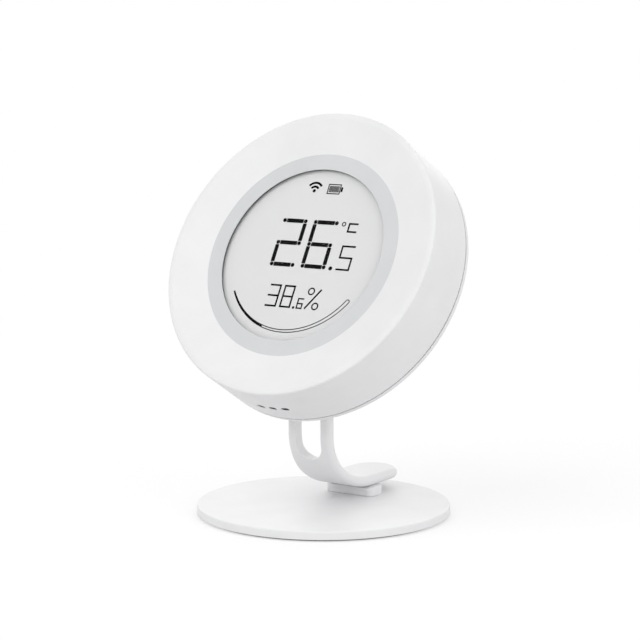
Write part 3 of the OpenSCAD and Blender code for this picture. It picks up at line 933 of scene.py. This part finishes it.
@dataclass
class Display:
    """The ring, window and segment display.

    The strokes and places of the readout are in millimetres about the display's middle.
    """

    head: HeadFrame
    ring_width: float = 3.5 * MM
    seat_gap: float = 0.05 * MM
    lip: float = 0.05 * MM
    ink: float = 0.03 * MM
    window_gap: float = 0.06 * MM

    # Gaps and strokes of the ink
    slit: float = 0.08
    joint: float = 0.02
    bold: float = 0.93
    fine: float = 0.4
    faint: float = 0.3
    thin: float = 0.22

    # Temperature: columns and rows of its figures, then its point, degree sign and unit
    tens: Point = (-7.4, -1.96)
    ones: Point = (0.62, 6.06)
    number_rows: Triple = (7.86, 2.71, -2.37)
    point_at: Point = (7.8, -2.5)
    tenths: Point = (9.32, 12.33)
    tenth_rows: Triple = (2.72, 0.09, -2.6)
    degree_at: Point = (7.93, 7.75)
    degree_r: float = 0.42
    unit_low: Point = (9.35, 6.08)
    unit_high: Point = (11.55, 7.92)

    # Humidity: columns and rows of its figures, then its percent sign
    damp_tens: Point = (-5.72, -3.22)
    damp_ones: Point = (-2.0, 0.44)
    damp_rows: Triple = (-7.2, -9.57, -11.95)
    damp_point: Point = (1.46, -11.95)
    damp_tenths: Point = (2.24, 3.47)
    damp_tenth_rows: Triple = (-9.85, -10.95, -12.0)
    percent_rings: tuple[Point, Point] = ((4.86, -8.0), (6.77, -11.29))
    percent_r: float = 0.72
    percent_line: tuple[Point, Point] = ((4.29, -12.0), (7.29, -7.43))

    # Sign of the radio link; each arc has a radius and half of its turn in degrees
    signal_at: Point = (-2.2, 15.0)
    signal_dot: Point = (-2.2, 15.1)
    signal_dot_r: float = 0.4
    signal_arcs: tuple[Point, Point] = ((1.1, 55), (2.0, 52))
    signal_stroke: float = 0.5
    signal_steps: int = 24

    # Sign of the battery: two corners, the tip and the bars of the level
    battery_low: Point = (1.25, 14.63)
    battery_high: Point = (4.33, 16.8)
    battery_tip: float = 0.68
    tip_rows: Point = (15.1, 16.25)
    bars: int = 12
    bar: float = 0.14
    bar_inset: float = 0.352

    # Gauge: its turns are those of its start, level and end, in degrees
    gauge_at: Point = (-0.1, 0.1)
    gauge_r: float = 17.5
    gauge_turns: Triple = (212.6, 253.6, 326.2)
    gauge_widths: Point = (0.42, 1.06)
    gauge_stroke: float = 0.19
    gauge_steps: int = 96
    cap_steps: int = 16

    def build(self) -> None:
        """Makes the ring, the window and the readout, and dresses the nodes behind them."""
        self.ring_and_window()
        back = self.head.extent("lcd_panel").low.z
        for name, draw in (
            ("readout_temperature", self.temperature), ("readout_humidity", self.humidity),
            ("readout_signal", self.signal), ("readout_battery", self.battery),
            ("readout_gauge", self.gauge),
        ):
            ink = Ink(self.head, back - self.ink, back)
            draw(ink)
            bmesh.ops.recalc_face_normals(ink.bm, faces=ink.bm.faces)
            add_piece(name, ink.bm, Body.HEAD, INK)
        dress_nodes(FOAM, "light_gasket")
        dress_nodes(PANEL, "lcd_panel")
        dress_nodes(WHITE, "lcd_frame")
        dress_nodes(RUBBER, "zebra_strip")

    def ring_and_window(self) -> None:
        """Makes the grey ring and the clear window below it."""
        ring = self.head.extent("display_ring")
        inner = ring.radius - self.ring_width
        outer = ring.radius + self.seat_gap
        outline = rounded([
            Corner(inner, ring.low.z, self.lip), Corner(outer, ring.low.z),
            Corner(outer, ring.high.z), Corner(inner, ring.high.z),
        ])
        add_piece("grey_ring", turned(outline, self.head.matrix, LARGE_ROUND), Body.HEAD, RING,
                  "display_ring", slot="ring_plastic")
        window = self.head.extent("display_window")
        outline = rounded([
            Corner(0, window.low.z), Corner(window.radius, window.low.z, self.lip),
            Corner(window.radius, window.high.z - self.window_gap, self.lip),
            Corner(0, window.high.z - self.window_gap),
        ])
        add_piece("clear_pane", turned(outline, self.head.matrix), Body.HEAD, CLEAR,
                  "display_window", slot="clear_window")

    def temperature(self, ink: Ink) -> None:
        """Draws the temperature with its degree sign and unit.

        Args:
            ink: The ink that it is drawn in.
        """
        for sign, columns in (("2", self.tens), ("6", self.ones)):
            ink.figure(sign, columns, self.number_rows, self.bold, Ends.DOTTED, self.slit)
        ink.dot(self.point_at, self.bold / 2)
        ink.figure("5", self.tenths, self.tenth_rows, self.fine, Ends.PLAIN, self.joint)
        ink.ring(self.degree_at, self.degree_r, self.thin)
        (left, low), (right, top) = self.unit_low, self.unit_high
        half = self.fine / 2
        for v in (top, low):
            ink.line((left - half, v), (right, v), self.fine)
        ink.line((left, top - half - self.joint), (left, low + half + self.joint), self.fine)

    def humidity(self, ink: Ink) -> None:
        """Draws the humidity with its percent sign.

        Args:
            ink: The ink that it is drawn in.
        """
        for sign, columns in (("3", self.damp_tens), ("8", self.damp_ones)):
            ink.figure(sign, columns, self.damp_rows, self.fine, Ends.PLAIN, self.joint)
        ink.dot(self.damp_point, self.faint)
        ink.figure("6", self.damp_tenths, self.damp_tenth_rows, self.faint, Ends.PLAIN,
                   self.joint)
        for centre in self.percent_rings:
            ink.ring(centre, self.percent_r, self.faint)
        ink.line(*self.percent_line, self.fine)

    def signal(self, ink: Ink) -> None:
        """Draws the radio link's sign: a dot and two arcs.

        Args:
            ink: The ink that it is drawn in.
        """
        ink.dot(self.signal_dot, self.signal_dot_r)
        for radius, half in self.signal_arcs:
            ink.sweep(self.signal_at, radius, (90 - half, 90 + half),
                      (self.signal_stroke, self.signal_stroke), self.signal_steps)

    def battery(self, ink: Ink) -> None:
        """Draws the battery's sign with a hatched level.

        Args:
            ink: The ink that it is drawn in.
        """
        (left, low), (right, high) = self.battery_low, self.battery_high
        stroke, half = self.thin, self.thin / 2
        for v in (low, high):
            ink.line((left - half, v), (right + half, v), stroke)
        bottom, top = low + half + self.joint, high - half - self.joint
        for u in (left, right):
            ink.line((u, bottom), (u, top), stroke)
        root, tip = right + stroke, right + self.battery_tip
        tip_low, tip_high = self.tip_rows
        ink.plate(rounded([Corner(root, tip_low), Corner(tip, tip_low, stroke),
                           Corner(tip, tip_high, stroke), Corner(root, tip_high)]))
        span = right - left - 2 * self.bar_inset
        for k in range(self.bars):
            u = left + self.bar_inset + span * k / (self.bars - 1)
            ink.line((u, bottom + stroke), (u, top - stroke), self.bar)

    def gauge(self, ink: Ink) -> None:
        """Draws the arc gauge: filled at its thin end, an outline from there on.

        Args:
            ink: The ink that it is drawn in.
        """
        centre, radius, stroke = self.gauge_at, self.gauge_r, self.gauge_stroke
        start, level, end = self.gauge_turns
        thin, thick = self.gauge_widths
        filled = thin + (thick - thin) * (level - start) / (end - start)
        ink.sweep(centre, radius, (start, level), (thin, filled))
        first, last = (filled - stroke) / 2, (thick - stroke) / 2
        outer, inner = (arc(centre, radius + k * first, level, end, self.gauge_steps,
                            radius + k * last) for k in (1, -1))
        tip = arc(centre, radius, end, end, 1)[0]
        cap = arc(tip, last, end, end + 180, self.cap_steps)
        ink.trace(outer + cap[1:-1] + inner[::-1], stroke)


@dataclass
class Electronics:
    """The board with what is soldered to it, and the cell's holder and contacts."""

    def build(self) -> None:
        """Dresses the nodes inside the head."""
        dress_nodes(BOARD, "main_board")
        dress_nodes(STEEL, "radio_module", "coin_cell")
        dress_nodes(BLACK, "sensor_chip", "tact_switch", "battery_holder")
        dress_nodes(GOLD, "contact_positive", "contact_negative")


@dataclass
class RearControls:
    """The twist-lock battery door and the pairing button on the head's back.

    The marks' places and radii are in millimetres, as the ink's are.
    """

    head: HeadFrame
    edge: float = 0.15 * MM
    dish: float = 0.25 * MM
    dish_share: float = 0.6
    flange_set: float = 1.5 * MM
    flange_wide: float = 0.8 * MM
    flange_t: float = 0.9 * MM
    mark_t: float = 0.05 * MM
    mark_off: float = 1.4
    mark_r: float = 0.42
    turn: float = 30.0

    def build(self) -> None:
        """Makes the door and the button, and dresses what goes with them."""
        add_piece("door_disc", softened(copy_of("battery_door"), self.edge), Body.DOOR, WHITE,
                  "battery_door", slot="white_plastic")
        add_piece("button_cap", self.button(), Body.BUTTON, WHITE, "pair_button",
                  slot="white_plastic")
        self.marks()
        dress_nodes(FOAM, "cell_pad")
        dress_nodes(BLACK, "switch_plunger")

    def marks(self) -> None:
        """Prints a pointer on the door, and a dot and a ring where it is shut and open."""
        door = self.head.extent("battery_door")
        middle = self.head.extent("cell_pad").mid
        shift = (middle.x / MM, middle.y / MM)
        radius = door.radius / MM
        cover = Ink(self.head, door.high.z, door.high.z + self.mark_t, shift)
        reach, turn = radius + self.mark_off, math.radians(-self.turn)
        cover.dot((reach, 0), self.mark_r)
        cover.ring((reach * math.cos(turn), reach * math.sin(turn)), self.mark_r, self.mark_r / 2)
        pointer = Ink(self.head, door.high.z, door.high.z + self.mark_t, shift)
        tip, root = radius - self.mark_off / 2, radius - 2 * self.mark_off
        pointer.plate([(tip, 0), (root, self.mark_off / 2), (root, -self.mark_off / 2)])
        for name, ink, body in (("cover_marks", cover, Body.HEAD),
                                ("door_pointer", pointer, Body.DOOR)):
            bmesh.ops.recalc_face_normals(ink.bm, faces=ink.bm.faces)
            add_piece(name, ink.bm, body, RING, slot="ring_plastic")

    def button(self) -> BMesh:
        """Turns the button with its shallow dish for the finger tip.

        Returns:
            The button's mesh.
        """
        cap = self.head.extent("pair_button")
        plunger = self.head.extent("switch_plunger")
        cover = self.head.extent("battery_door")
        flange_low = cover.high.z - self.flange_set
        cap_r = cap.radius - self.flange_wide
        flange_high = flange_low - self.flange_t
        outline = rounded([
            Corner(0, cap.high.z - self.dish),
            Corner(cap_r * self.dish_share, cap.high.z - self.dish / 2),
            Corner(cap_r, cap.high.z, self.edge), Corner(cap_r, flange_low),
            Corner(cap.radius, flange_low), Corner(cap.radius, flange_high),
            Corner(plunger.radius, flange_high), Corner(plunger.radius, cap.low.z),
            Corner(0, cap.low.z),
        ])
        middle = Matrix.Translation((cap.mid.x, cap.mid.y, 0))
        return turned(outline, self.head.matrix @ middle, SMALL_ROUND)


# The stand


@dataclass
class Stand:
    """The forked J-shaped arm on its foot block and round base."""

    thickness: float = 2.4 * MM
    heel_r: float = 12.1 * MM
    heel_turn: float = 55.0
    sole_r: float = 22.0 * MM
    slot_w: float = 6.56 * MM
    slot_low: float = 12.5 * MM
    eye_r: float = 3.0 * MM
    eye_round: float = 0.8 * MM
    arm_edge: float = 0.18 * MM
    block_edge: float = 0.2 * MM
    base_round: float = 0.3 * MM
    small_edge: float = 0.1 * MM
    pad_gap: float = 0.05 * MM
    slot_steps: int = 48
    prong_steps: int = 14
    bend_steps: int = 28
    edge_steps: int = 16

    def build(self) -> None:
        """Makes the arm, block and base, and dresses the rest of the stand."""
        add_piece("fork_arm", self.arm(), Body.STAND, WHITE, "arm", slot="white_plastic")
        block = softened(copy_of("foot_block"), self.block_edge)
        add_piece("arm_block", block, Body.STAND, WHITE, "foot_block", slot="white_plastic")
        add_piece("base_disc", self.base(), Body.STAND, COATED, "base_plate",
                  slot="coated_steel")
        pin = softened(copy_of("tilt_pin"), self.small_edge)
        add_piece("hinge_pin", pin, Body.STAND, STEEL, "tilt_pin", slot="bright_steel")
        dress_nodes(FOAM, "friction_washers")
        dress_nodes(RUBBER, "anti_slip_pad")
        dress_nodes(STEEL, "arm_screws")

    def hinge(self) -> Vector:
        """Where the tilt hinge is."""
        return Vector(packed_joint("head_tilt")["pos_m"])

    def middle_line(self) -> list[Triple]:
        """The arm's middle line in its side plane.

        Returns:
            Places of (y, z, direction of the outer side in degrees), down to the flat foot.
        """
        top = self.hinge()
        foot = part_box("arm")[0].z
        half = self.thickness / 2
        heel_y = top.y - half + self.heel_r
        lean = math.radians(self.heel_turn)
        sole = Vector((heel_y + (self.sole_r - self.heel_r) * math.cos(lean), foot + self.sole_r))
        heel_z = sole.y - (self.sole_r - self.heel_r) * math.sin(lean)
        corner = 180 + self.heel_turn
        line = [(top.y, top.z + (heel_z - top.z) * k / self.prong_steps, 180.0)
                for k in range(self.prong_steps)]
        for (y, z), r, start, end in (((heel_y, heel_z), self.heel_r, 180, corner),
                                      (tuple(sole), self.sole_r, corner, 270)):
            for k in range(0 if start == 180 else 1, self.bend_steps + 1):
                a = start + (end - start) * k / self.bend_steps
                t = math.radians(a)
                line.append((y + (r - half) * math.cos(t), z + (r - half) * math.sin(t), a))
        return line

    def arm(self) -> BMesh:
        """Makes the arm: a strap with round edges, two eyes, and the slot between its prongs.

        Returns:
            The arm's mesh.
        """
        low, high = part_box("arm")
        half, flat = self.thickness / 2, (high.x - low.x - self.thickness) / 2
        end_y = high.y - flat - half
        turns = [math.radians(-90 + 180 * i / self.edge_steps) for i in range(self.edge_steps + 1)]
        rows = [
            [Vector((flat + half * math.cos(f), y + half * math.sin(f) * math.cos(math.radians(a)),
                     z + half * math.sin(f) * math.sin(math.radians(a)))) for f in turns]
            for y, z, a in self.middle_line()
        ]
        for k in range(self.bend_steps):
            t = math.pi / 2 * k / self.bend_steps
            rows.append([
                Vector(((flat + half * math.cos(f)) * math.cos(t),
                        end_y + (flat + half * math.cos(f)) * math.sin(t),
                        low.z + half - half * math.sin(f))) for f in turns
            ])
        strap = self.skinned(rows)
        strap = carved(strap, self.eyes(high.x), Cut.JOIN)
        strap = carved(strap, self.slot_tool(), Cut.TAKE_AWAY)
        return softened(strap, self.arm_edge)

    @staticmethod
    def skinned(rows: Sequence[Sequence[Vector]]) -> BMesh:
        """Skins half rows of points, which are mirrored across the middle plane.

        Args:
            rows: Points of the right half, row after row.

        Returns:
            The closed mesh.
        """
        bm = bmesh.new()
        loops = [
            [bm.verts.new(p) for p in row]
            + [bm.verts.new((-p.x, p.y, p.z)) for p in reversed(row)]
            for row in rows
        ]
        for loop, following in zip(loops, loops[1:]):
            bridge(bm, loop, following)
        half = len(rows[0])
        for loop in (loops[0], loops[-1]):
            for k in range(half - 1):
                bm.faces.new((loop[k], loop[k + 1], loop[-2 - k], loop[-1 - k]))
        bmesh.ops.recalc_face_normals(bm, faces=bm.faces)
        return bm

    def eyes(self, outer: float) -> BMesh:
        """The two round ends of the prongs, about the hinge.

        Args:
            outer: How far the arm reaches to each side.

        Returns:
            Their mesh.
        """
        inner = self.slot_w / 2
        outline = rounded([
            Corner(0, -inner), Corner(self.eye_r, -inner),
            Corner(self.eye_r, -outer, self.eye_round), Corner(0, -outer),
        ])
        place = Matrix.Translation(self.hinge())
        turns = [Matrix.Rotation(math.radians(side * 90), 4, "Y") for side in (1, -1)]
        return gathered(turned(outline, place @ turn, SMALL_ROUND) for turn in turns)

    def slot_tool(self) -> BMesh:
        """Makes the tool for the slot between the prongs, round at its lower end.

        Returns:
            The tool's mesh.
        """
        half = self.slot_w / 2
        top = 2 * self.hinge().z
        outline = arc((0, self.slot_low + half), half, 180, 360, self.slot_steps)
        outline += [(half, top), (-half, top)]
        upright = Matrix.Rotation(math.radians(90), 4, "X")
        return extruded(outline, -self.sole_r, self.sole_r, upright)

    def base(self) -> BMesh:
        """Turns the base with its rounded upper edge.

        Returns:
            The base's mesh.
        """
        low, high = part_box("base_plate")
        pad_low, pad_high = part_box("anti_slip_pad")
        radius = (high.x - low.x) / 2
        pad_r = (pad_high.x - pad_low.x) / 2 + self.pad_gap
        outline = rounded([
            Corner(0, -high.z), Corner(radius, -high.z, self.base_round),
            Corner(radius, -low.z, self.small_edge), Corner(pad_r, -low.z, self.small_edge),
            Corner(pad_r, -pad_high.z), Corner(0, -pad_high.z),
        ], FINE_STEPS)
        return turned(outline, Matrix.Identity(4), LARGE_ROUND)


# The studio


def direction(azimuth: float, elevation: float) -> Vector:
    """Unit vector to a viewer: azimuth from the front round to +X, elevation above the floor."""
    a, e = math.radians(azimuth), math.radians(elevation)
    return Vector((math.sin(a) * math.cos(e), -math.cos(a) * math.cos(e), math.sin(e)))


def set_up(name: str, data: Light | Camera, place: Vector, back: Vector) -> Object:
    """Puts a lamp or the camera in place.

    Args:
        name: Its name.
        data: The lamp or camera itself.
        place: Where it stands.
        back: The direction that its back is turned to.

    Returns:
        The object that holds it.
    """
    obj = bpy.data.objects.new(name, data)
    obj.location = place
    obj.rotation_mode = "QUATERNION"
    obj.rotation_quaternion = (-back).to_track_quat("-Z", "Y")
    bpy.context.scene.collection.objects.link(obj)
    return obj


@dataclass(frozen=True)
class Lamp:
    """A square soft light, aimed at the middle of the object."""

    name: str
    azimuth: float
    elevation: float
    power: float
    distance: float = 1.0
    size: float = 0.8

    def build(self, aim: Vector) -> None:
        """Hangs the lamp.

        Args:
            aim: The point that it is aimed at.
        """
        data = bpy.data.lights.new(self.name, "AREA")
        data.energy, data.size = self.power, self.size
        back = direction(self.azimuth, self.elevation)
        set_up(self.name, data, aim + back * self.distance, back)
        log.info("%s: lamp of %.2f W", self.name, self.power)


@dataclass
class Studio:
    """White floor, white surroundings, three soft lamps and the camera."""

    ambient_low: float = 0.74
    ambient_high: float = 0.81
    floor_white: float = 1.0
    floor_bounce: float = 0.78
    floor_lift: float = 0.5
    lift_from: float = 70 * MM
    lift_full: float = 330 * MM
    floor_size: float = 30.0
    floor_drop: float = 0.02 * MM
    camera_place: Triple = (0.25609, -0.37556, 0.10537)
    azimuth: float = 34.389
    elevation: float = 7.88
    lens: float = 119.21
    sensor: float = 36.0
    view_from: float = 0.01
    view_to: float = 100.0
    lamps: tuple[Lamp, ...] = (
        Lamp("key_lamp", azimuth=-20.0, elevation=45.0, power=2.5),
        Lamp("right_lamp", azimuth=78.0, elevation=22.0, power=2.0),
        Lamp("back_lamp", azimuth=-150.0, elevation=20.0, power=1.4),
    )

    def build(self) -> None:
        """Sets up the whole studio."""
        bpy.context.scene.view_settings.view_transform = "Standard"
        self.surroundings()
        self.floor()
        aim = (CAD_BOX[0] + CAD_BOX[1]) / 2
        for lamp in self.lamps:
            lamp.build(aim)
        self.camera()

    @staticmethod
    def seen(tree: NodeTree) -> NodeSocket:
        """1 for what the camera sees straight, in a gloss or through glass, and else 0.

        Args:
            tree: A node tree.

        Returns:
            The value.
        """
        path = add_node(tree, "LightPath")
        value = path.outputs["Is Camera Ray"]
        for name in ("Is Glossy Ray", "Is Transmission Ray"):
            either = add_node(tree, "Math", {0: value, 1: path.outputs[name]}, Working.LARGER)
            value = either.outputs["Value"]
        return value

    def surroundings(self) -> None:
        """Makes the surroundings white to look at, and a plain even light."""
        world = bpy.data.worlds.new("studio")
        bpy.context.scene.world = world
        world.use_nodes = True
        tree = world.node_tree
        sky = add_node(tree, "TexCoord")
        height = add_node(tree, "SeparateXYZ", {"Vector": sky.outputs["Generated"]})
        strength = add_node(tree, "MapRange", {
            "Value": height.outputs["Z"],
            "To Min": self.ambient_low, "To Max": self.ambient_high,
        })
        light = tree.nodes["Background"]
        fill(light, {"Color": PURE_WHITE, "Strength": strength.outputs["Result"]})
        white = add_node(tree, "Background", {"Color": PURE_WHITE})
        choose = add_node(tree, "MixShader", {
            "Fac": self.seen(tree), 1: light.outputs["Background"],
            2: white.outputs["Background"],
        })
        fill(tree.nodes["World Output"], {"Surface": choose.outputs["Shader"]})

    def floor(self) -> None:
        """Lays a pale floor that keeps the object's shadow."""
        half = self.floor_size / 2
        bm = bmesh.new()
        corners = ((-half, -half), (half, -half), (half, half), (-half, half))
        bm.faces.new([bm.verts.new((x, y, -self.floor_drop)) for x, y in corners])
        floor = as_object("floor", bm)
        floor.data.materials.append(self.floor_material())

    def floor_material(self) -> Material:
        """Makes a matt white that brightens to plain white away from the object.

        Returns:
            The floor's material.
        """
        material = bpy.data.materials.new("studio_floor")
        material.use_nodes = True
        tree = material.node_tree
        tree.nodes.remove(tree.nodes["Principled BSDF"])
        seen = self.seen(tree)
        shade = add_node(tree, "MapRange", {
            "Value": seen, "To Min": self.floor_bounce, "To Max": self.floor_white,
        })
        matt = add_node(tree, "BsdfDiffuse", {"Color": shade.outputs["Result"]})
        place = add_node(tree, "TexCoord")
        away = add_node(tree, "VectorMath", {0: place.outputs["Object"]}, Working.LENGTH)
        share = add_node(tree, "MapRange", {
            "Value": away.outputs["Value"], "From Min": self.lift_from,
            "From Max": self.lift_full, "To Min": self.floor_lift, "To Max": 1.0,
        })
        lift = add_node(tree, "Math", {0: seen, 1: share.outputs["Result"]}, Working.PRODUCT)
        white = add_node(tree, "Emission")
        choose = add_node(tree, "MixShader", {
            "Fac": lift.outputs["Value"], 1: matt.outputs["BSDF"],
            2: white.outputs["Emission"],
        })
        fill(tree.nodes["Material Output"], {"Surface": choose.outputs["Shader"]})
        return material

    def camera(self) -> None:
        """Puts the camera where the picture was taken from."""
        data = bpy.data.cameras.new("camera")
        data.lens, data.sensor_width = self.lens, self.sensor
        data.clip_start, data.clip_end = self.view_from, self.view_to
        back = direction(self.azimuth, self.elevation)
        bpy.context.scene.camera = set_up("camera", data, Vector(self.camera_place), back)


def main() -> None:
    """Builds the sub-assemblies in order, then the studio round them."""
    logging.basicConfig(level=logging.INFO, format="%(name)s %(message)s")
    head = HeadFrame.of_model()
    for assembly in (HeadShell(head), Display(head), Electronics(), RearControls(head), Stand()):
        assembly.build()
    Studio().build()


if __name__ == "__main__":
    main()
